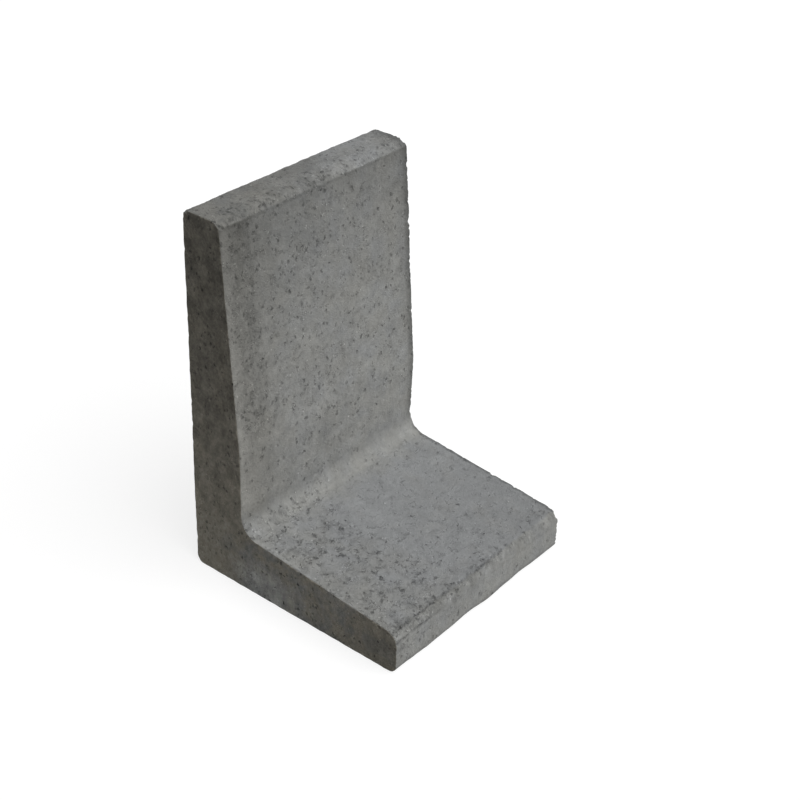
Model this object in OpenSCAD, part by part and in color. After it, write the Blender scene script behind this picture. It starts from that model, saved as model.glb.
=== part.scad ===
// L-shaped retaining wall unit, cast in concrete as one piece.
// X runs along the wall, +Y points to the back of the stem and the foot reaches towards -Y.
// The origin lies on the ground, under the middle of the unit.

/* [Overall] */
// Height from the ground to the top of the stem
unit_height = 600; // [450:10:900]
// Length along the wall, from end to end
unit_length = 400; // [200:10:1000]
// Depth from the back of the stem to the tip of the foot
unit_depth = 400; // [300:10:600]

/* [Stem] */
// Thickness at the top
stem_top = 68; // [50:1:100]
// Thickness of the plumb lower part
stem_root = 98; // [80:1:140]
// Height of the knee, where the plumb face ends and the taper starts
knee_height = 235; // [180:5:400]

/* [Foot] */
// Thickness at the tip
foot_tip = 70; // [50:1:100]
// Thickness where the foot meets the face of the stem
foot_root = 100; // [80:1:130]

/* [Edges] */
// Radius in the inner corner of stem and foot
fillet_radius = 32; // [10:1:60]
// Radius of the front edge at the top
nose_radius = 19; // [8:1:30]
// Radius of the back edge at the top
crown_radius = 9; // [2:1:20]
// Radius of the back edge at the ground
heel_radius = 14; // [2:1:30]
// Radius of the tip's upper edge
tip_radius = 22; // [4:1:30]
// Radius of the tip's edge at the ground
toe_radius = 13; // [2:1:25]

/* [Hidden] */
$fn = 96;

// Grey of the bare concrete
concrete_grey = [0.48, 0.48, 0.46];
// How far a corner's piece reaches past the faces that it works on
overrun = 5;
// The front edge's arc is cut off by the face of the stem and leaves a crease there:
// this share of its radius lies behind the face
nose_run_share = 0.85;

back_y = unit_depth / 2;
tip_y = -unit_depth / 2;
face_y = back_y - stem_root;
brow_y = back_y - stem_top;

// The foot's upper face falls from the stem to the tip
foot_slope = (foot_root - foot_tip) / (face_y - tip_y);
foot_angle = atan(foot_slope);
function foot_z(y) = foot_tip + (y - tip_y) * foot_slope;

// Section with all its corners sharp: section X is the part's Y, and section Y its height
module sharp_section() {
    polygon([
        [tip_y, 0],
        [back_y, 0],
        [back_y, unit_height],
        [brow_y, unit_height],
        [face_y, knee_height],
        [face_y, foot_root],
        [tip_y, foot_tip],
    ]);
}

// What lies between a quarter of a circle and the corner that it rounds.
// The corner is up and to the back at turn 0, and goes round with turn.
// On a sloping face the piece starts where the circle stands furthest past that face.
module corner_piece(centre, radius, turn, slope_angle = 0) {
    start = radius * sin(slope_angle);
    reach = radius + overrun;
    translate(centre)
        rotate(turn)
            difference() {
                translate([0, start])
                    square([reach, reach - start]);
                circle(radius);
            }
}

module rounded_section() {
    nose_y = brow_y + nose_radius * nose_run_share;
    tip_arc_y = tip_y + tip_radius;
    fillet_y = face_y - fillet_radius;
    difference() {
        union() {
            sharp_section();
            corner_piece([fillet_y, foot_z(fillet_y) + fillet_radius], fillet_radius, 270, foot_angle);
        }
        corner_piece([back_y - crown_radius, unit_height - crown_radius], crown_radius, 0);
        corner_piece([nose_y, unit_height - nose_radius], nose_radius, 90);
        corner_piece([tip_arc_y, foot_z(tip_arc_y) - tip_radius], tip_radius, 90, foot_angle);
        corner_piece([tip_y + toe_radius, toe_radius], toe_radius, 180);
        corner_piece([back_y - heel_radius, heel_radius], heel_radius, 270);
    }
}

module wall_unit() {
    color(concrete_grey)
        rotate([90, 0, 90])
            linear_extrude(unit_length, center = true)
                rounded_section();
}

wall_unit();
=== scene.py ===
"""A concrete L unit for a retaining wall: its pitted, worn cast skin, its concrete and a plain studio."""
import math

import bmesh
import bpy
import numpy as np
from mathutils import Matrix, Vector, geometry, kdtree, noise


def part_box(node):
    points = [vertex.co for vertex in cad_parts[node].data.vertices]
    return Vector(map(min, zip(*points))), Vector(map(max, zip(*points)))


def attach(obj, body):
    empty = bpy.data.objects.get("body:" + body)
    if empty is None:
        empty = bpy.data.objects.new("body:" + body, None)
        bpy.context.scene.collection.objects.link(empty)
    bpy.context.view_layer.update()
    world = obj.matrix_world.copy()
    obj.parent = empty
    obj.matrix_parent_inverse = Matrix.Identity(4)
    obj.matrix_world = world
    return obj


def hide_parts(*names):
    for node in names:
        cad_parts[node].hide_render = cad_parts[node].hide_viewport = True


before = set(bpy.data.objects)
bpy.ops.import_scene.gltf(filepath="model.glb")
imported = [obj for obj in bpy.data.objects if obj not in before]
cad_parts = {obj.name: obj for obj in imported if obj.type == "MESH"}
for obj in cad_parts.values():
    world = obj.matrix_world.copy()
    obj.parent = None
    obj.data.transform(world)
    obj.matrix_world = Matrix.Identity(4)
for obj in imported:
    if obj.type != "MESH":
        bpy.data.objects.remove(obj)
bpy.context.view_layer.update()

MM = 0.001
NEAR, FAR = -1, 1
LOW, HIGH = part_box("wall_unit")
LENGTH, DEPTH, HEIGHT = HIGH - LOW

# Steps between the points of the cast skin
FINE_STEP = 0.5 * MM
FLAT_STEP = 2.75 * MM
CURVE_STEP = 1.7 * MM
HIDDEN_STEP = 6.5 * MM
COLUMN_STEP = 2.7 * MM
END_STEP = 3.4 * MM

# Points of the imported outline, and of an end face, that are closer than this are one point
WELD = 0.01 * MM
END_WELD = 0.00001 * MM
# The outline's facets are softened over this reach, and over a shorter one at the crease
SOFTEN = 4 * MM
CREASE_SOFTEN = 1 * MM
# A face looks along an axis where its outward direction has at least this share of it
FACING = 0.7
# An outline that turns more than this per metre is a rounded edge
TURN = 12

# Wear of the arrises round both ends
ARRIS = 1.2 * MM
ARRIS_TURNS = 3
RUB_SIZE = 14 * MM

# Unevenness of the skin: how far it stands out or sinks in, and how large its lumps are
WAVE, WAVE_SIZE = 0.7 * MM, 90 * MM
PORE, PORE_SIZE = 0.45 * MM, 11 * MM
TEAR, TEAR_SIZE = 0.6 * MM, 12 * MM
WEAR, WEAR_SIZE = 0.5 * MM, 12 * MM
SAG, SAG_SIZE = 2.2 * MM, 75 * MM

# Air pits: their number, the radius of the smallest and how much larger the others get
PIT_COUNT = 1500
PIT_RADIUS = 1.4 * MM
PIT_GROWTH = 2.6 * MM
# Their length and depth as shares of the radius, and how dark the painted shade in them is, each from least
# to most
PIT_LENGTH_SHARES = (1.0, 2.2)
PIT_DEPTH_SHARES = (0.3, 0.6)
PIT_SHADE = (0.2, 1.0)

# Chips along the arris of each end and at the stem's back: side and place of the end, number and force
ARRIS_CHIPS = ((NEAR, LOW.x, 34, 0.75), (FAR, HIGH.x, 130, 1.0))
BACK_CHIPS = ((NEAR, LOW.x, 16, 0.6), (FAR, HIGH.x, 16, 0.9))
# Their radii from least to most, the least depth and how much deeper the others get
ARRIS_CHIP_RADII = (2.5 * MM, 7 * MM)
ARRIS_CHIP_DEPTH = 1.1 * MM
BACK_CHIP_RADII = (4 * MM, 12 * MM)
BACK_CHIP_DEPTH = 1.0 * MM
CHIP_DEEPENING = 2.2 * MM
# Chips along the section's rounded edges, and the lumps of all chips
EDGE_CHIP_COUNT = 70
EDGE_CHIP_RADII = (3 * MM, 7 * MM)
EDGE_CHIP_DEPTHS = (0.3 * MM, 0.9 * MM)
CHIP_LUMP_SIZE = 5 * MM
# Larger knocks: y and z of the row, the end, how much they face along the wall, radius and depth
KNOCKS = (
    (LOW.y, 0.11 * HEIGHT, HIGH.x, 0.7, 9 * MM, 4.5 * MM),
    (HIGH.y, HIGH.z, LOW.x, -1, 7 * MM, 3.5 * MM),
    (0.3 * DEPTH, 0.78 * HEIGHT, HIGH.x, 1, 6 * MM, 3.2 * MM),
    (0.35 * DEPTH, HIGH.z, HIGH.x, 1, 10 * MM, 3.5 * MM),
)

# Lines torn along the foot's tip and the ridge in the inner corner:
# y and z of the row, reach from the near end, half of the width, and depth or height
TORN_LINES = (
    (LOW.y + 11 * MM, 69 * MM, 0.8 * LENGTH, 2.2 * MM, 1.8 * MM),
    (LOW.y, 56 * MM, 0.32 * LENGTH, 2.2 * MM, 2.2 * MM),
    (LOW.y, 40 * MM, 0.2 * LENGTH, 2.4 * MM, 1.4 * MM),
)
CORNER_RIDGE = (0.215 * DEPTH, 0.168 * HEIGHT, 0.85 * LENGTH, 2.6 * MM, 0.9 * MM)
WANDER, WANDER_SIZE = 2.2 * MM, 26 * MM
BREAK_SIZE = 22 * MM
# A torn line of this depth is as dark as the darkest pit, partly dirt and partly painted shade in the
# groove, and the ridge is fully worn at this height
FULL_TEAR = 1.0 * MM
FULL_RIDGE = 1.1 * MM

# The bake's layout: gap between its strips, and the height that one end takes up
MAP_GAP = 10 * MM
END_STRIP = 145 * MM

SEED = 7


def rise(value, start, end):
    """0 up to start, 1 from end on and straight between them, for numbers, arrays and signals."""
    share = (value - start) / (end - start)
    return share.limited() if isinstance(share, Signal) else np.clip(share, 0, 1)


def between(value, start, end, soft):
    """1 from start to end and 0 outside, with edges as wide as soft."""
    half = soft / 2
    return rise(value, start - half, start + half) * (1 - rise(value, end - half, end + half))


def unit(rows):
    """Each row as a direction of length one."""
    return rows / np.linalg.norm(rows, axis=-1, keepdims=True)


def lumps(places, size, octaves=1):
    """Smooth noise from about -1 to 1, with lumps about as large as size."""
    return np.array([noise.fractal(place, 1.0, 2.0, octaves) for place in (places / size).tolist()])


def end_outline(solid):
    """Corners of the section, in order round the solid's near end from the toe up, as rows of y and z."""
    welded = bmesh.new()
    welded.from_mesh(solid.data)
    bmesh.ops.remove_doubles(welded, verts=welded.verts, dist=WELD)
    welded.normal_update()
    onward = {}
    for face in welded.faces:
        if face.normal.x > -FACING:
            continue
        for corner in face.loops:
            if corner.link_loop_radial_next.face.normal.x > -FACING:
                onward[corner.vert] = corner.link_loop_next.vert
    ring = [min(onward, key=lambda point: (round(point.co.z / WELD), point.co.y))]
    while onward[ring[-1]] is not ring[0]:
        ring.append(onward[ring[-1]])
    corners = np.array([(point.co.y, point.co.z) for point in ring])
    welded.free()
    return corners


def soften(rows, reach):
    """Rows of a closed loop at the fine step, each averaged with its neighbours within reach."""
    count = round(reach / FINE_STEP)
    weights = np.hanning(2 * count + 3)[1:-1]
    weights = weights / weights.sum()
    wrapped = np.concatenate([rows[-count:], rows, rows[:count]])
    return np.stack([np.convolve(column, weights, "valid") for column in wrapped.T], axis=1)


def crease_corner(corners):
    """Number of the corner where the outline turns most, the crease under the rounded top edge."""
    ahead = unit(np.roll(corners, -1, axis=0) - corners)
    return int(np.argmin((ahead * np.roll(ahead, 1, axis=0)).sum(axis=1)))


class Section:
    """Rows of the skin round the section: place and outward direction in y and z, and the walk to each."""

    def __init__(self, corners):
        closed = np.vstack([corners, corners[:1]])
        walk = np.concatenate([[0], np.cumsum(np.linalg.norm(np.diff(closed, axis=0), axis=1))])
        self.girth = walk[-1]
        fine = np.arange(0, self.girth, FINE_STEP)
        sharp = np.stack([np.interp(fine, walk, closed[:, axis]) for axis in (0, 1)], axis=1)
        crease = walk[crease_corner(corners)]
        creased = between(fine, crease - SOFTEN, crease + SOFTEN, SOFTEN)[:, None]
        path = creased * soften(sharp, CREASE_SOFTEN) + (1 - creased) * soften(sharp, SOFTEN)
        ahead = unit(np.roll(path, -1, axis=0) - np.roll(path, 1, axis=0))
        turn = np.linalg.norm(np.roll(ahead, -1, axis=0) - ahead, axis=1) / FINE_STEP
        turn = soften(turn[:, None], SOFTEN)[:, 0]
        on_back = path[:, 0] > HIGH.y - WELD
        hidden = np.arange(len(fine)) > np.argmax(np.where(on_back, path[:, 1], LOW.z))

        step = np.where(turn > TURN, CURVE_STEP, np.where(hidden, HIDDEN_STEP, FLAT_STEP))
        step = soften(step[:, None], SOFTEN)[:, 0]
        counted = np.cumsum(FINE_STEP / step)
        self.count = round(counted[-1])
        self.walk = np.interp(np.arange(self.count) * counted[-1] / self.count, counted, fine)

        def at_rows(values):
            return np.interp(self.walk, fine, values)

        self.place = np.stack([at_rows(path[:, 0]), at_rows(path[:, 1])], axis=1)
        self.out = unit(np.stack([at_rows(-ahead[:, 1]), at_rows(ahead[:, 0])], axis=1))
        self.turn = at_rows(turn)
        self.shown = int(np.argmax(at_rows(hidden) > 0))
        self.step = np.diff(np.append(self.walk, self.girth))

    def nearest(self, y, z):
        """Number of the row that lies nearest to a place."""
        return int(np.argmin(np.hypot(self.place[:, 0] - y, self.place[:, 1] - z)))


def inside(points, ring):
    """Which points lie inside a closed ring."""
    start, end = ring, np.roll(ring, -1, axis=0)
    above = (start[None, :, 1] > points[:, None, 1]) != (end[None, :, 1] > points[:, None, 1])
    share = (points[:, None, 1] - start[None, :, 1]) / np.where(end == start, 1, end - start)[None, :, 1]
    crossed = start[None, :, 0] + share * (end - start)[None, :, 0] > points[:, None, 0]
    return (above & crossed).sum(axis=1) % 2 == 1


def end_face(ring):
    """Inner points of an end face and its triangles, which count the ring's points first."""
    low, high = ring.min(axis=0), ring.max(axis=0)
    across = np.arange(low[0], high[0], END_STEP)
    levels = np.arange(low[1], high[1], END_STEP * math.sqrt(3) / 2)
    rows = [np.column_stack([across + END_STEP / 2 * (number % 2), np.full(len(across), level)])
            for number, level in enumerate(levels)]
    grid = np.concatenate(rows)
    grid = grid[inside(grid, ring)]
    dense = np.concatenate([ring, (ring + np.roll(ring, -1, axis=0)) / 2])
    gap = np.min(np.linalg.norm(grid[:, None] - dense[None], axis=2), axis=1)
    grid = grid[gap > END_STEP / 2]
    points = [Vector((-y, z)) for y, z in np.concatenate([ring, grid])]
    edges = [(number, (number + 1) % len(ring)) for number in range(len(ring))]
    _, _, faces, came_from, _, _ = geometry.delaunay_2d_cdt(points, edges, [], 1, END_WELD)
    triangles = np.array([[came_from[corner][0] for corner in face] for face in faces])
    return grid, triangles


class Skin:
    """All points of the cast skin with their outward directions, and the faces between them."""

    def __init__(self, section):
        self.section = section
        turns = np.linspace(0, math.pi / 2, ARRIS_TURNS + 1)
        run, sink, lean = ARRIS * (1 - np.cos(turns)), ARRIS * (1 - np.sin(turns)), np.cos(turns)
        spaces = round((LENGTH - 2 * ARRIS) / COLUMN_STEP)
        middle = np.linspace(LOW.x + ARRIS, HIGH.x - ARRIS, spaces + 1)[1:-1]
        self.columns = np.concatenate([LOW.x + run, middle, HIGH.x - run[::-1]])
        sink = np.concatenate([sink, 0 * middle, sink[::-1]])
        lean = np.concatenate([-lean, 0 * middle, lean[::-1]])
        rows, columns = section.count, len(self.columns)

        sheet = np.empty((rows, columns, 3))
        sheet[..., 0] = self.columns
        sheet[..., 1:] = section.place[:, None] - section.out[:, None] * sink[None, :, None]
        out = np.empty((rows, columns, 3))
        out[..., 0] = lean
        out[..., 1:] = section.out[:, None] * np.sqrt(1 - lean ** 2)[None, :, None]
        ground = section.step[:, None] * np.gradient(self.columns)[None]

        numbers = np.arange(rows * columns).reshape(rows, columns)
        onward = np.roll(numbers, -1, axis=0)
        corners = (numbers[:, :-1], numbers[:, 1:], onward[:, 1:], onward[:, :-1])
        self.quads = np.stack(corners, axis=-1).reshape(-1, 4)

        inner, triangles = end_face(sheet[:, 0, 1:])
        places, outs, areas = [sheet.reshape(-1, 3)], [out.reshape(-1, 3)], [ground.ravel()]
        self.triangles = []
        for side, column in ((NEAR, 0), (FAR, columns - 1)):
            known = np.concatenate([numbers[:, column], sum(map(len, places)) + np.arange(len(inner))])
            self.triangles.append(known[triangles if side == NEAR else triangles[:, ::-1]])
            places.append(np.column_stack([np.full(len(inner), self.columns[column]), inner]))
            outs.append(np.tile((side, 0.0, 0.0), (len(inner), 1)))
            areas.append(np.full(len(inner), END_STEP ** 2))
        self.place, self.out, self.area = map(np.concatenate, (places, outs, areas))
        # The places before the relief, from which the bake's layout is made
        self.flat = self.place.copy()

        on_sheet = slice(rows * columns)
        self.walk = np.full(len(self.place), np.inf)
        self.walk[on_sheet] = np.repeat(section.walk, columns)
        self.across = np.zeros_like(self.place)
        self.across[on_sheet, 1:] = np.repeat(section.out, columns, axis=0)
        self.edge = np.zeros(len(self.place))
        self.edge[on_sheet] = np.repeat(rise(section.turn, TURN, 4 * TURN), columns)
        self.end = rise(np.abs(self.out[:, 0]), 0.6, 0.9)


def near_band(along, z):
    """The darker, more open strip of the stem's face beside its near end."""
    return between(along, 0.04 * LENGTH, 0.16 * LENGTH, 0.05 * LENGTH) * rise(z, 0.3 * HEIGHT, 0.5 * HEIGHT)


def porosity(skin):
    """How thickly the pits lie on each part of the skin, where 1 is the stem's face near its middle."""
    x, y, z = skin.place.T
    along = x - LOW.x
    front, top = rise(-skin.out[:, 1], 0.3, 0.7), rise(skin.out[:, 2], 0.3, 0.7)
    low_stem = 1 - rise(z, 0.33 * HEIGHT, 0.45 * HEIGHT)
    far_stem = rise(along, 0.5 * LENGTH, 0.85 * LENGTH)
    stem = 1.05 - 0.4 * far_stem + 0.7 * near_band(along, z) - 0.55 * low_stem
    near_foot = 1 - rise(along, 0.25 * LENGTH, 0.5 * LENGTH)
    outer_foot = 1 - rise(y, LOW.y, LOW.y + 0.3 * DEPTH)
    lip = between(y, LOW.y + 5 * MM, LOW.y + 16 * MM, 6 * MM)
    lip = lip * (1 - rise(along, 0.5 * LENGTH, 0.9 * LENGTH))
    foot = 0.5 + 1.15 * near_foot + 0.4 * outer_foot + 0.9 * lip
    crown = 0.8 + 1.2 * (1 - rise(y, HIGH.y - 50 * MM, HIGH.y - 30 * MM))
    high = rise(z, 0.5 * HEIGHT, 0.6 * HEIGHT)
    faces = front * stem + top * (high * crown + (1 - high) * foot)
    return faces + (1 - np.maximum(front, top)) * 0.8


def press_pits(skin, random):
    """Depth of the air pits, and how much of each point lies in one."""
    depth, filled = np.zeros(len(skin.place)), np.zeros(len(skin.place))
    tree = kdtree.KDTree(len(skin.place))
    for number, place in enumerate(skin.place.tolist()):
        tree.insert(place, number)
    tree.balance()
    weight = skin.area * skin.porous
    up = np.array((0.0, 0.0, 1.0))
    for number in random.choice(len(skin.place), PIT_COUNT, replace=False, p=weight / weight.sum()):
        out = skin.out[number]
        radius = PIT_RADIUS + PIT_GROWTH * random.random() ** 3
        reach = radius * random.uniform(*PIT_LENGTH_SHARES)
        deep = radius * random.uniform(*PIT_DEPTH_SHARES)
        dark = random.uniform(*PIT_SHADE)
        lengthwise = up - out * out[2] + 0.5 * random.normal(size=3)
        lengthwise = unit(lengthwise - out * (lengthwise @ out))
        crosswise = np.cross(out, lengthwise)
        found = np.array([index for _, index, _ in tree.find_range(skin.place[number], reach)])
        found = found[skin.out[found] @ out > FACING]
        offset = skin.place[found] - skin.place[number]
        spread = (offset @ lengthwise / reach) ** 2 + (offset @ crosswise / radius) ** 2
        bowl = np.clip(1 - spread, 0, 1)
        depth[found] = np.maximum(depth[found], deep * bowl ** 0.7)
        # The share of each point that lies in a pit, which the concrete darkens with painted shade
        filled[found] = np.maximum(filled[found], dark * bowl ** 0.5)
    return depth, filled


def break_chip(skin, x, row, lean, radius, depth):
    """Breaks a lumpy bite out of a row at x. It faces out from the row, plus lean along the wall."""
    section = skin.section
    outward = unit(np.array((lean, *section.out[row]), float))
    centre = np.array((x, *section.place[row])) + outward * (radius - depth)
    offset = skin.place - centre
    close = np.flatnonzero(np.linalg.norm(offset, axis=1) < 1.4 * radius)
    gap = np.linalg.norm(offset[close], axis=1)
    reach = radius * (1 + 0.25 * lumps(skin.place[close], CHIP_LUMP_SIZE))
    bitten = gap < reach
    skin.place[close[bitten]] = centre + offset[close[bitten]] * (reach / gap)[bitten, None]
    skin.worn[close[bitten]] = 1


def break_edges(skin, random):
    """Chips along the arrises round both ends, along the section's rounded edges and where knocks hit."""
    section = skin.section
    shares = section.step * np.where(np.arange(section.count) < section.shown, 1.0, 0.15)
    shares = shares * (section.out[:, 1] > -0.5)
    for side, end, count, force in ARRIS_CHIPS:
        for row in random.choice(section.count, count, p=shares / shares.sum()):
            radius = random.uniform(*ARRIS_CHIP_RADII)
            depth = force * (ARRIS_CHIP_DEPTH + CHIP_DEEPENING * random.random() ** 4)
            break_chip(skin, end, row, side, radius, depth)
    curved = np.flatnonzero((section.turn > TURN) & (section.out[:, 0] < 0) & (section.out[:, 1] > 0))
    for row in random.choice(curved, EDGE_CHIP_COUNT):
        x = random.uniform(LOW.x, HIGH.x)
        radius = random.uniform(*EDGE_CHIP_RADII)
        depth = random.uniform(*EDGE_CHIP_DEPTHS)
        break_chip(skin, x, row, 0, radius, depth)
    for side, end, count, force in BACK_CHIPS:
        for height in random.uniform(0.03 * HEIGHT, 0.97 * HEIGHT, count):
            radius = random.uniform(*BACK_CHIP_RADII)
            depth = force * (BACK_CHIP_DEPTH + CHIP_DEEPENING * random.random() ** 3)
            break_chip(skin, end, section.nearest(HIGH.y, height), side, radius, depth)
    for y, z, end, lean, radius, depth in KNOCKS:
        break_chip(skin, end, section.nearest(y, z), lean, radius, depth)


def score(skin, y, z, reach, width, deep):
    """Depth of a ragged line along the wall, on the row nearest to y and z, from the near end for reach."""
    row = skin.section.nearest(y, z)
    along = skin.place[:, 0] - LOW.x
    line = np.column_stack([along, 0 * along + skin.section.place[row, 1], 0 * along])
    off = skin.walk - skin.section.walk[row] - WANDER * lumps(line, WANDER_SIZE, 3)
    keep = rise(lumps(line + 1, BREAK_SIZE, 2), -0.5, 0.2) * (1 - rise(along, 0.75 * reach, reach))
    return deep * keep * np.exp(-(off / width) ** 2)


def cast_relief(skin):
    """Works the skin from the plain section into the cast one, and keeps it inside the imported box."""
    random = np.random.default_rng(SEED)
    x, y, z = skin.place.T.copy()
    lean = np.abs(skin.out[:, 0])
    arris = rise(lean, 0.05, 0.3) * (1 - rise(lean, 0.97, 0.99))
    skin.porous = porosity(skin)
    skin.worn = np.maximum(arris, 0.6 * skin.edge) * rise(lumps(skin.place, RUB_SIZE, 2), -0.5, 0.4)
    pit_depth, skin.pit = press_pits(skin, random)

    relief = WAVE * lumps(skin.place, WAVE_SIZE, 2) * (1 - 0.8 * rise(-skin.out[:, 2], 0.3, 0.7))
    relief += PORE * (0.3 + 0.5 * skin.porous) * lumps(skin.place, PORE_SIZE, 3)
    ragged = np.clip(skin.edge + rise(-y, 0.47 * DEPTH, 0.49 * DEPTH), 0, 1) * rise(z, 10 * MM, 30 * MM)
    relief += TEAR * ragged * lumps(skin.place, TEAR_SIZE, 3)
    relief -= WEAR * arris * (0.3 + lumps(skin.place, WEAR_SIZE, 2))
    toe = rise(-y, 0.46 * DEPTH, 0.49 * DEPTH) * (1 - rise(z, 10 * MM, 25 * MM))
    relief += SAG * toe * lumps(np.column_stack([x, 0 * x, 0 * x]), SAG_SIZE, 2)

    torn = sum(score(skin, *line) for line in TORN_LINES)
    ridge = score(skin, *CORNER_RIDGE)
    skin.pit = np.maximum(skin.pit, torn / FULL_TEAR)
    skin.worn = np.maximum(skin.worn, ridge / FULL_RIDGE)
    break_edges(skin, random)

    # On the arrises pits stay shallow and torn lines sink across the section, so that no face folds over
    slant = np.where(np.isfinite(skin.walk), lean, 0)
    pit_depth *= 1 - 0.7 * rise(slant, 0, 0.4)
    skin.place += skin.out * (relief + ridge - pit_depth)[:, None]
    skin.place -= skin.across * (torn * (1 - 0.5 * slant))[:, None]
    skin.place = np.clip(skin.place, LOW, HIGH)


def bake_map(skin, mesh):
    """Lays the skin out flat: the front and top, the back and sole, and each end as a stem and a foot."""
    section = skin.section
    row, column = np.divmod(skin.quads, len(skin.columns))
    first = row[:, :1]
    walk = np.where((row == 0) & (first > 0), section.girth, section.walk[row])
    hidden = first >= section.shown
    across = walk - np.where(hidden, section.walk[section.shown], 0)
    up = skin.columns[column] - LOW.x + np.where(hidden, LENGTH + MAP_GAP, 0)
    layout = [np.stack([across, up], axis=-1).reshape(-1, 2)]
    level = 2 * (LENGTH + MAP_GAP)
    split = section.place[section.nearest(0, 0.4 * HEIGHT), 0]
    for triangles in skin.triangles:
        y, z = skin.flat[triangles, 1], skin.flat[triangles, 2]
        on_stem = y.mean(axis=1, keepdims=True) > split
        across = np.where(on_stem, z - LOW.z, HEIGHT + MAP_GAP + y - LOW.y)
        up = level + np.where(on_stem, HIGH.y - y, z - LOW.z)
        layout.append(np.stack([across, up], axis=-1).reshape(-1, 2))
        level += END_STRIP
    layout = np.concatenate(layout)
    spread = layout / max(layout.max(axis=0) + MAP_GAP)
    mesh.uv_layers.new(name="OFBake").data.foreach_set("uv", spread.ravel())


def cast_wall():
    """The cast unit as one closed piece, with its pits, worn edges and ends marked for the concrete."""
    skin = Skin(Section(end_outline(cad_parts["wall_unit"])))
    cast_relief(skin)
    mesh = bpy.data.meshes.new("cast_wall")
    faces = [*skin.quads.tolist(), *np.concatenate(skin.triangles).tolist()]
    mesh.from_pydata(skin.place.tolist(), [], faces)
    mesh.shade_smooth()
    for name in ("pit", "porous", "worn", "edge", "end"):
        values = getattr(skin, name).astype(np.float32)
        mesh.attributes.new(name, "FLOAT", "POINT").data.foreach_set("value", values)
    bake_map(skin, mesh)
    wall = bpy.data.objects.new("cast_wall", mesh)
    bpy.context.scene.collection.objects.link(wall)
    wall.data.materials.append(concrete())
    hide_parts("wall_unit")
    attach(wall, "root")


class Signal:
    """An output of a shader node. Python's operators on it add Math nodes."""

    def __init__(self, finish, socket):
        self.finish, self.socket = finish, socket

    def other(self, output):
        """Another output of the same node."""
        return Signal(self.finish, self.socket.node.outputs[output])

    def maths(self, operation, *terms):
        """A Math node on the terms."""
        return self.finish.node("Math", {"operation": operation}, dict(enumerate(terms)))

    def __add__(self, term):
        return self.maths("ADD", self, term)

    def __sub__(self, term):
        return self.maths("SUBTRACT", self, term)

    def __rsub__(self, term):
        return self.maths("SUBTRACT", term, self)

    def __mul__(self, term):
        return self.maths("MULTIPLY", self, term)

    def __truediv__(self, term):
        return self.maths("DIVIDE", self, term)

    def __abs__(self):
        return self.maths("ABSOLUTE", self)

    __radd__ = __add__
    __rmul__ = __mul__

    def limited(self):
        """The signal kept from 0 to 1."""
        return self.finish.node("Clamp", sockets={"Value": self})


class Finish:
    """Nodes of one material or of the world, made one at a time."""

    def __init__(self, owner):
        owner.use_nodes = True
        self.owner, self.tree = owner, owner.node_tree
        self.tree.nodes.clear()

    def node(self, kind, settings=None, sockets=None, output=0):
        """Adds a node: its settings come first, then the values or links of its sockets."""
        made = self.tree.nodes.new("ShaderNode" + kind)
        for name, setting in (settings or {}).items():
            setattr(made, name, setting)
        for name, value in (sockets or {}).items():
            if isinstance(value, Signal):
                self.tree.links.new(value.socket, made.inputs[name])
            else:
                made.inputs[name].default_value = value
        return Signal(self, made.outputs[output]) if made.outputs else None

    def mark(self, name):
        """What the mesh holds under a name."""
        return self.node("Attribute", {"attribute_name": name}, output="Fac")

    def scaled(self, colour, amount):
        """A colour or a vector made larger or smaller."""
        sockets = {"Vector": colour[:3] if isinstance(colour, tuple) else colour, "Scale": amount}
        return self.node("VectorMath", {"operation": "SCALE"}, sockets)

    def stretched(self, place, shares):
        """A place with its axes multiplied by shares."""
        return self.node("VectorMath", {"operation": "MULTIPLY"}, {0: place, 1: shares})

    def shifted(self, place, move):
        """A place moved along, so that noise drawn there is another one."""
        return self.node("VectorMath", {"operation": "ADD"}, {0: place, 1: move})

    def swayed(self, place, size, reach):
        """A place pushed about by noise, so that what is drawn there gets a ragged outline."""
        sockets = {"Vector": place, "Scale": 1 / size, "Detail": 3.0}
        push = self.node("TexNoise", sockets=sockets, output="Color")
        push = self.node("VectorMath", {"operation": "SUBTRACT"}, {0: push, 1: (0.5, 0.5, 0.5)})
        return self.node("VectorMath", {"operation": "ADD"}, {0: place, 1: self.scaled(push, 2 * reach)})

    def cloud(self, place, size, detail=2.0, roughness=0.5):
        """Noise from about -1 to 1, with clouds about as large as size."""
        sockets = {"Vector": place, "Scale": 1 / size, "Detail": detail, "Roughness": roughness}
        return self.node("TexNoise", sockets=sockets) * 4 - 2

    def blots(self, place, spacing, radius, share):
        """Scattered blots, of which share are there: 1 in the middle, 1 on the rim, and the drawn lot."""
        gap = self.node("TexVoronoi", sockets={"Vector": place, "Scale": 1 / spacing})
        lots = self.node("SeparateColor", sockets={"Color": gap.other("Color")})
        lot = lots.other("Green")
        depth = 1 - gap * spacing / (radius * (0.45 + 0.8 * lot * lot))
        there = rise(share - lots, 0.0, 0.1)
        return there * depth.limited(), there * between(depth, -0.3, 0.1, 0.3), lot

    def tinted(self, share, colour, tint):
        """A colour multiplied by a tint, as far as share says."""
        settings = {"data_type": "RGBA", "blend_type": "MULTIPLY"}
        return self.node("Mix", settings, {0: share, 6: colour, 7: tint}, output=2)


def shade(red, green, blue):
    """A colour from its screen values, 0 to 255."""
    shares = [value / 255 for value in (red, green, blue)]
    light = [share / 12.92 if share <= 0.04045 else ((share + 0.055) / 1.055) ** 2.4 for share in shares]
    return (*light, 1.0)


def grey(level):
    """A neutral colour from its share of white light."""
    return (level, level, level, 1.0)


CEMENT = shade(130, 130.5, 128)
BROWN = (1.0, 0.93, 0.81, 1.0)
COOL = (0.968, 0.985, 1.036, 1.0)
WARM = (1.02, 1.0, 0.965, 1.0)
BUMP_DEPTH = 0.5 * MM


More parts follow.
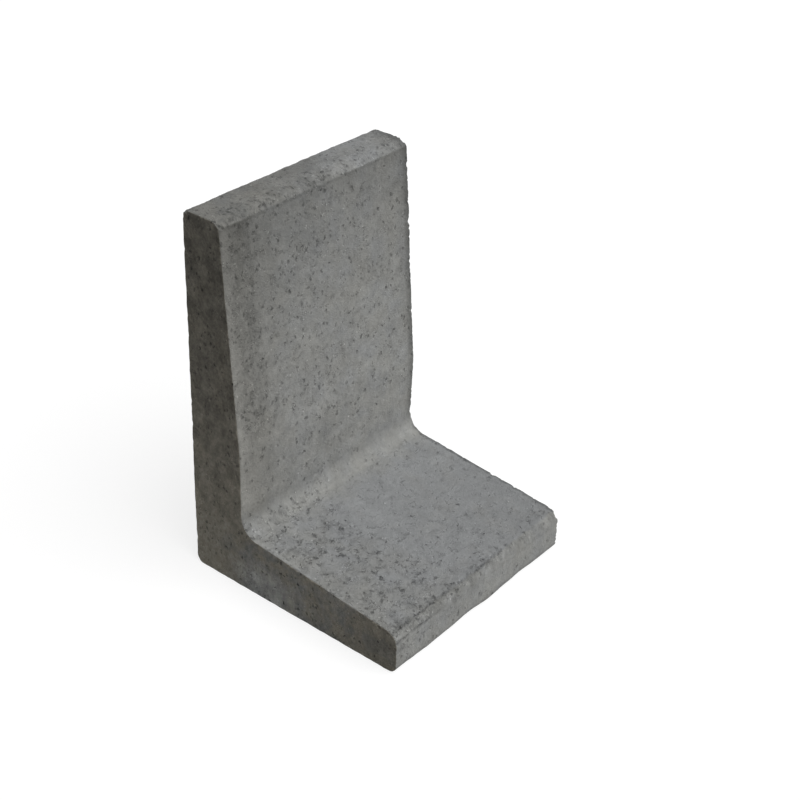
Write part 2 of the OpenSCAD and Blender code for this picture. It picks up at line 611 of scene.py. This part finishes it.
class Clouds:
    """Noise of several sizes that mottles the concrete."""

    def __init__(self, finish):
        place = finish.node("TexCoord", output="Object")
        upright = finish.stretched(place, (1.0, 1.0, 0.8))
        self.place, self.upright = place, upright
        self.patch = finish.cloud(place, 110 * MM, 3)
        self.hue = finish.cloud(finish.shifted(place, (5.0, 7.0, 3.0)), 42 * MM, 3)
        self.blotch = finish.cloud(upright, 34 * MM, 3)
        self.stain = finish.cloud(finish.shifted(place, (2.0, 8.0, 1.0)), 30 * MM, 4, 0.62)
        self.vein = abs(finish.cloud(finish.shifted(place, (4.0, 4.0, 9.0)), 16 * MM, 2))
        self.drift = finish.cloud(finish.shifted(upright, (3.0, 5.0, 7.0)), 15 * MM, 3, 0.6)
        self.mottle = finish.cloud(upright, 12 * MM, 4, 0.6)
        self.streak = finish.cloud(finish.stretched(place, (1.0, 1.0, 0.3)), 9 * MM, 3, 0.6)
        self.grit = finish.cloud(upright, 4.2 * MM, 2)
        self.sand = finish.cloud(place, 2.2 * MM, 1)


class Zones:
    """Where a point lies on the unit: its place, and zones that are 1 inside and 0 elsewhere."""

    def __init__(self, finish, clouds):
        parts = finish.node("SeparateXYZ", sockets={"Vector": clouds.place})
        along, y, z = parts - LOW.x, parts.other("Y"), parts.other("Z")
        end = finish.mark("end")
        side = 1 - end
        self.along, self.y, self.z = along, y, z
        self.end, self.side = end, side
        self.near = 1 - rise(along, 0, 0.6 * LENGTH)

        high = rise(z, 0.982 * HEIGHT, 0.986 * HEIGHT)
        self.crown = side * high
        stem = side * rise(z, 0.19 * HEIGHT, 0.23 * HEIGHT) * (1 - high)
        self.front = stem * (1 - rise(y, 0.36 * DEPTH, 0.42 * DEPTH))
        self.back = side * rise(y, HIGH.y - 3 * MM, HIGH.y - 1.5 * MM)

        ragged = y + 2 * MM * clouds.mottle
        ahead = (1 - rise(y, 0.26 * DEPTH, 0.28 * DEPTH)) * rise(ragged, LOW.y + 9 * MM, LOW.y + 12 * MM)
        self.foot = side * ahead * between(z, 0.07 * HEIGHT, 0.18 * HEIGHT, 0.02 * HEIGHT)
        self.tip = side * (1 - rise(y, LOW.y + 8 * MM, LOW.y + 13 * MM))

        self.low_end = end * (1 - rise(z, 0.16 * HEIGHT, 0.2 * HEIGHT))
        # The base of the foot at the near end: greyer in colour, and paler partly with painted light
        # bounced up from the floor
        below = 1 - rise(z, 35 * MM, 75 * MM)
        self.pale_foot_base = self.low_end * self.near * between(y, 0, 0.28 * DEPTH, 0.15 * DEPTH) * below


class Marks:
    """What breaks the skin: dark smudges, hollows darkened with painted shade, pale specks at their rims
    that are partly sand grains and partly painted highlight, and fine cracks.
    """

    def __init__(self, finish, on, clouds):
        pit, porous, grit = finish.mark("pit"), finish.mark("porous"), clouds.grit
        smudge = rise(clouds.drift + 0.25 * porous, 0.3, 0.9)
        torn = on.foot * rise(porous, 0.7, 1.3)
        self.smudge = smudge

        small_share = 0.08 + 0.24 * porous + 0.6 * smudge
        small_share = small_share + 0.25 * on.end + 0.15 * on.crown - 0.04 * on.tip
        small_share = small_share + 0.1 * on.front * rise(on.z, 0.65 * HEIGHT, 0.8 * HEIGHT)
        small_share = small_share * (1 - 0.6 * on.foot - 0.5 * on.back)
        ragged = finish.swayed(clouds.upright, 5 * MM, 4.5 * MM)
        small, small_rim, small_lot = finish.blots(ragged, 5.7 * MM, 3.8 * MM, small_share)

        brow = on.crown * (1 - rise(on.y, HIGH.y - 56 * MM, HIGH.y - 46 * MM))
        brow = brow * between(on.along, 0.2 * LENGTH, 0.62 * LENGTH, 0.2 * LENGTH)
        wide_share = on.foot * (0.2 * porous - 0.12 + 0.2 * smudge) + 0.5 * torn * smudge
        wide_share = wide_share + on.back * (0.3 * smudge - 0.05) + 0.4 * brow * smudge
        ragged = finish.swayed(clouds.place, 5.5 * MM, 7 * MM)
        wide, wide_rim, wide_lot = finish.blots(ragged, 9.5 * MM, 7 * MM, wide_share)

        self.halo = (rise(small, 0, 0.6) + rise(wide, 0, 0.6)).limited()
        hollow = small_lot * small_lot * rise(small + 0.25 * grit, 0.25, 0.85)
        hollow = hollow + rise(wide_lot, 0.25, 0.85) * rise(wide + 0.4 * grit, 0.3, 0.8)
        self.hollow = hollow.limited()
        cracked = on.foot + on.tip * (1 - rise(on.along, 0.15 * LENGTH, 0.6 * LENGTH))
        self.crack = cracked * (1 - rise(clouds.vein, 0.05, 0.16)) * rise(clouds.mottle, 0.1, 0.5)
        # Pale specks, mostly on the rims of the hollows: partly sand grains and partly painted highlight
        # where a rim catches the light
        speck_share = (0.02 + 1.2 * (small_rim + wide_rim)) * (1 - 0.4 * on.end)
        elsewhere = finish.shifted(clouds.place, (9.0, 2.0, 4.0))
        speck, _, _ = finish.blots(elsewhere, 4.5 * MM, 2.6 * MM, speck_share)
        self.speck_and_highlight = rise(speck, 0.1, 0.5)

        # The pits and the hollows are darkened with painted shade; the smudges, halos and cracks are darker
        # marks of their own
        dark = (1 - 0.3 * pit * rise(grit, -0.9, 0.3)) * (1 - (0.13 + 0.05 * torn) * smudge)
        dark = dark * (1 - 0.15 * self.halo) * (1 - (0.5 + 0.3 * on.end) * self.hollow)
        self.dark = dark * (1 - 0.3 * self.crack)


def stem_tone(on, clouds):
    """The stem's face: darker upwards and to the near end, partly its own tone and partly painted shade,
    with a dark strip and a pale arris there.
    """
    front, along, z = on.front, on.along, on.z
    low = 1 - rise(z, 0.4 * HEIGHT, 0.5 * HEIGHT)
    tone = 1 + 0.05 * front * low * clouds.blotch
    # Darker upwards and towards the near end: partly the concrete's own tone and partly painted shade where
    # less light falls
    tone = tone * (1 - front * (0.28 * rise(z, 0.42 * HEIGHT, 0.98 * HEIGHT) + 0.14 * on.near))
    tone = tone * (1 + 0.05 * front * between(z, 0.58 * HEIGHT, 0.84 * HEIGHT, 0.12 * HEIGHT))
    shaded = between(along, 0.4 * LENGTH, 0.82 * LENGTH, 0.15 * LENGTH)
    tone = tone * (1 - 0.07 * front * shaded * (1 - rise(z, 0.36 * HEIGHT, 0.42 * HEIGHT)))
    broken = 0.75 + 0.5 * clouds.blotch + 0.8 * clouds.streak
    tone = tone * (1 - 0.2 * front * near_band(along, z) * broken)
    low_band = between(along, 0.11 * LENGTH, 0.18 * LENGTH, 0.05 * LENGTH)
    tone = tone * (1 - 0.09 * front * low_band * between(z, 125 * MM, 240 * MM, 20 * MM))
    low_near = 1 - rise(along, 0.12 * LENGTH, 0.35 * LENGTH)
    tone = tone * (1 - 0.07 * front * low_near * between(z, 0.2 * HEIGHT, 0.28 * HEIGHT, 0.04 * HEIGHT))
    tone = tone * (1 + 0.08 * front * (1 - rise(along, 7 * MM, 14 * MM)))
    tone = tone * (1 - 0.05 * front * rise(z, 0.945 * HEIGHT, 0.965 * HEIGHT))
    return tone * (1 - 0.06 * front * rise(z, 0.972 * HEIGHT, 0.981 * HEIGHT))


def crown_tone(on, clouds):
    """The top: darker in its near half, partly its own tone and partly painted shade, with a pale brow
    towards the far end.
    """
    crown, along, y = on.crown, on.along, on.y
    tone = 1 + 0.07 * crown * clouds.blotch
    # Darker in the near half: partly the concrete's own tone and partly painted shade
    tone = tone * (1 - crown * (0.06 + 0.24 * (1 - rise(along, 0.55 * LENGTH, 0.7 * LENGTH))))
    middle = crown * between(along, 0.3 * LENGTH, 0.62 * LENGTH, 0.12 * LENGTH)
    tone = tone * (1 + middle * (0.1 - 0.18 * rise(y, HIGH.y - 40 * MM, HIGH.y - 20 * MM)))
    pale_brow = crown * between(along, 0.55 * LENGTH, 0.85 * LENGTH, 0.1 * LENGTH)
    return tone * (1 + 0.11 * pale_brow * (1 - rise(y, HIGH.y - 45 * MM, HIGH.y - 30 * MM)))


def foot_tone(on):
    """The foot's upper face: paler at the rear and the near arris, darker in the inner corner with painted
    shade.
    """
    foot, along, y = on.foot, on.along, on.y
    tone = 1 + 0.05 * foot * between(along, 0.35 * LENGTH, 0.5 * LENGTH, 0.1 * LENGTH)
    tone = tone * (1 + 0.1 * foot * (1 - rise(along, 3 * MM, 9 * MM)))
    rear = foot * rise(y, -0.1 * DEPTH, 0.1 * DEPTH)
    tone = tone * (1 + 0.09 * rear * rise(along, 0.5 * LENGTH, 0.75 * LENGTH))
    tone = tone * (1 + 0.07 * rear * (1 - rise(along, 0.25 * LENGTH, 0.4 * LENGTH)))
    far_tip = rise(along, 0.75 * LENGTH, 0.9 * LENGTH)
    tone = tone * (1 - 0.07 * foot * far_tip * (1 - rise(y, LOW.y + 0.1 * DEPTH, LOW.y + 0.35 * DEPTH)))
    # Painted shade in the inner corner above the fillet, stronger towards the near end
    corner = on.side * between(y, 94 * MM, 108 * MM, 8 * MM) * between(on.z, 113 * MM, 135 * MM, 10 * MM)
    return tone * (1 - corner * (0.08 + 0.1 * on.near))


def tip_tone(on, clouds):
    """The foot's tip: a patchy lip below its upper edge, and upright streaks."""
    lip = on.tip * between(on.z, 57 * MM, 67 * MM, 6 * MM)
    tone = 1 + 0.2 * lip * (rise(clouds.blotch + clouds.mottle, -0.2, 0.7) - 0.4)
    return tone * (1 - 0.1 * on.tip * rise(clouds.streak + 0.3 * on.near, 0.2, 0.6))


def back_tone(on, clouds):
    """The stem's back: soft clouds and streaks."""
    return 1 + on.back * (0.09 * clouds.patch + 0.06 * clouds.blotch + 0.04 * clouds.streak)


def far_edge_shade(on, clouds):
    """Painted shade: the dark strips of the stem, the top and the foot beside the far end, where the
    arrises turn away from the light.
    """
    tall = on.front + on.crown
    tone = 1 - 0.12 * tall * rise(on.along, LENGTH - 28 * MM, LENGTH - 8 * MM)
    tone = tone * (1 - 0.4 * tall * rise(on.along, LENGTH - 16 * MM, LENGTH - 3 * MM))
    ragged = on.along + 5 * MM * clouds.mottle
    return tone * (1 - 0.45 * on.foot * rise(ragged, LENGTH - 8 * MM, LENGTH - 3 * MM))


def end_tone(on, clouds):
    """The ends: stained, and darker upwards, partly their own tone and partly painted shade; darker at the
    tip, paler at the heel, and paler at the foot's base, partly with painted light bounced up from the
    floor.
    """
    y, z = on.y, on.z
    # Darker upwards: partly the ends' own tone and partly painted shade
    upper = 0.34 * rise(z, 0.2 * HEIGHT, 0.5 * HEIGHT) + 0.2 * rise(z, 0.5 * HEIGHT, HEIGHT)
    tone = 1 - on.end * (upper - 0.08 - 0.34 * clouds.stain - 0.1 * clouds.grit)
    tone = tone * (1 + on.pale_foot_base * (0.45 + 0.3 * clouds.stain))
    tone = tone * (1 + 0.22 * on.low_end * rise(y, 0.3 * DEPTH, 0.45 * DEPTH))
    return tone * (1 - 0.2 * on.low_end * (1 - rise(y, LOW.y, LOW.y + 0.25 * DEPTH)))


def tint(finish, colour, on, clouds):
    """Gives the grey its hues: brown ends, a cool foot and far top, and a warm near side."""
    along, y, z = on.along, on.y, on.z
    brown = rise(z, 0.12 * HEIGHT, 0.25 * HEIGHT) + rise(y, 0.2 * DEPTH, 0.4 * DEPTH)
    brown = brown + rise(clouds.patch + clouds.stain, -0.5, 0.5)
    brown = brown + 0.7 * (1 - rise(y, LOW.y + 0.1 * DEPTH, LOW.y + 0.3 * DEPTH))
    colour = finish.tinted(on.end * brown.limited() * (1 - 0.8 * on.pale_foot_base), colour, BROWN)
    cool = on.foot * rise(along, 0, 0.4 * LENGTH) * (1 - rise(z, 94 * MM, 99 * MM))
    cool = cool + 0.5 * on.crown * rise(along, 0.55 * LENGTH, 0.7 * LENGTH) + 0.6 * on.pale_foot_base
    bluish = 0.6 - 0.4 * on.end - 0.5 * on.near * (on.front + on.crown)
    colour = finish.tinted((cool + bluish * rise(clouds.hue, 0, 0.8)).limited(), colour, COOL)
    warm = on.front * (1 - rise(along, 0.08 * LENGTH, 0.25 * LENGTH))
    warm = warm + on.crown * on.near * rise(clouds.blotch, -0.5, 0.3)
    warm = warm + 0.5 * rise(-1 * clouds.hue, 0, 0.8)
    return finish.tinted(warm.limited(), colour, WARM)


def concrete():
    """Bare cast concrete: mottled grey with hollows darkened by painted shade, browner ends and rubbed
    arrises.
    """
    finish = Finish(bpy.data.materials.new("concrete"))
    clouds = Clouds(finish)
    on = Zones(finish, clouds)
    marks = Marks(finish, on, clouds)
    worn, edge = finish.mark("worn"), finish.mark("edge")
    mottle, grit, sand = clouds.mottle, clouds.grit, clouds.sand

    rough = 0.6 + 0.4 * (marks.smudge + on.end).limited() + 0.25 * (on.front + on.crown + on.tip)
    tone = 1 + 0.05 * clouds.patch + 0.09 * clouds.blotch + 0.5 * marks.speck_and_highlight
    tone = tone + rough * (0.16 * mottle + 0.09 * grit + 0.06 * sand)
    tone = tone * stem_tone(on, clouds) * crown_tone(on, clouds) * foot_tone(on) * tip_tone(on, clouds)
    tone = tone * back_tone(on, clouds) * far_edge_shade(on, clouds) * end_tone(on, clouds)
    # Painted shade on the section's rounded edges and in its inner corner, less of it on the top; rubbed
    # places are paler
    tone = tone * (1 - 0.16 * on.side * edge * (1 - 0.6 * on.crown)) * (1 + 0.1 * worn) * marks.dark

    height = rough * (0.6 * mottle + 0.5 * grit + 0.4 * sand)
    height = height + 0.5 * marks.speck_and_highlight - 0.8 * marks.halo - 1.4 * marks.hollow - marks.crack
    shader = finish.node("BsdfPrincipled", sockets={
        "Base Color": tint(finish, finish.scaled(CEMENT, tone), on, clouds),
        "Roughness": (0.94 + 0.04 * mottle - 0.06 * marks.dark).limited(),
        "Specular IOR Level": 0.2,
        "Normal": finish.node("Bump", sockets={"Strength": 1.0, "Distance": BUMP_DEPTH, "Height": height}),
    })
    finish.node("OutputMaterial", sockets={"Surface": shader})
    return finish.owner


# The floor: its reach, its gap below the unit, the grey that lights the unit, and what the camera sees
FLOOR_REACH = 30 * LENGTH
FLOOR_GAP = 0.2 * MM
FLOOR_GREY = grey(0.3)
SEEN_GREY = grey(0.24)
SEEN_GLOW = 0.8
# The room's light on the unit, and the white that the camera sees
WHITE = grey(1.0)
ROOM_GREY = grey(0.07)

# The camera that the photo's edges fit: sensor and lens, angles in degrees, and place
SENSOR = 36
LENS = 71.287
CAMERA_TURN = -51.738
CAMERA_TILT = 31.896
CAMERA_ROLL = 2.171
CAMERA_PLACE = Vector((-1547.889, -1252.087, 1525.95)) * MM


def seen(finish):
    """1 for what the camera sees, straight or in a mirror or through glass, and 0 for light on its way."""
    path = finish.node("LightPath", output="Is Camera Ray")
    return (path + path.other("Is Glossy Ray") + path.other("Is Transmission Ray")).limited()


def lay_floor():
    """A white floor that keeps the unit's shadow and gives little light back."""
    quarters = ((-1, -1), (1, -1), (1, 1), (-1, 1))
    corners = [(right * FLOOR_REACH, back * FLOOR_REACH, 0) for right, back in quarters]
    mesh = bpy.data.meshes.new("floor")
    mesh.from_pydata(corners, [], [(0, 1, 2, 3)])
    floor = bpy.data.objects.new("floor", mesh)
    floor.location.z = LOW.z - FLOOR_GAP
    bpy.context.scene.collection.objects.link(floor)
    finish = Finish(bpy.data.materials.new("pale_floor"))
    plain = finish.node("BsdfDiffuse", sockets={"Color": FLOOR_GREY})
    shadowed = finish.node("BsdfDiffuse", sockets={"Color": SEEN_GREY})
    glow = finish.node("Emission", sockets={"Color": WHITE, "Strength": SEEN_GLOW})
    white = finish.node("AddShader", sockets={0: shadowed, 1: glow})
    surface = finish.node("MixShader", sockets={0: seen(finish), 1: plain, 2: white})
    finish.node("OutputMaterial", sockets={"Surface": surface})
    floor.data.materials.append(finish.owner)


def soft_lamp(name, towards, strength, spread):
    """A broad lamp: a white face square to it renders as strength, and it spreads over so many degrees."""
    lamp = bpy.data.lights.new(name, "SUN")
    lamp.energy = strength * math.pi
    lamp.angle = math.radians(spread)
    holder = bpy.data.objects.new(name, lamp)
    holder.rotation_euler = Vector(towards).to_track_quat("Z", "Y").to_euler()
    bpy.context.scene.collection.objects.link(holder)


def light_room():
    """A broad lamp from the front and above, a weaker one behind and a dim room that looks white."""
    soft_lamp("front_lamp", towards=(0.15, -0.69, 0.71), strength=1.2, spread=75)
    soft_lamp("back_lamp", towards=(0.0, 0.98, 0.2), strength=0.55, spread=30)
    world = bpy.data.worlds.new("room")
    bpy.context.scene.world = world
    finish = Finish(world)
    dim = finish.node("Background", sockets={"Color": ROOM_GREY})
    bright = finish.node("Background", sockets={"Color": WHITE})
    room = finish.node("MixShader", sockets={0: seen(finish), 1: dim, 2: bright})
    finish.node("OutputWorld", sockets={"Surface": room})


def photograph():
    """The camera, where the reference view was taken from."""
    camera = bpy.data.objects.new("camera", bpy.data.cameras.new("camera"))
    camera.data.sensor_width = SENSOR
    camera.data.lens = LENS
    turn = Matrix.Rotation(math.radians(CAMERA_TURN), 4, "Z")
    tilt = Matrix.Rotation(math.radians(90 - CAMERA_TILT), 4, "X")
    roll = Matrix.Rotation(math.radians(CAMERA_ROLL), 4, "Z")
    camera.matrix_world = Matrix.Translation(CAMERA_PLACE) @ turn @ tilt @ roll
    bpy.context.scene.collection.objects.link(camera)
    bpy.context.scene.camera = camera
    bpy.context.scene.view_settings.view_transform = "Standard"


cast_wall()
lay_floor()
light_room()
photograph()
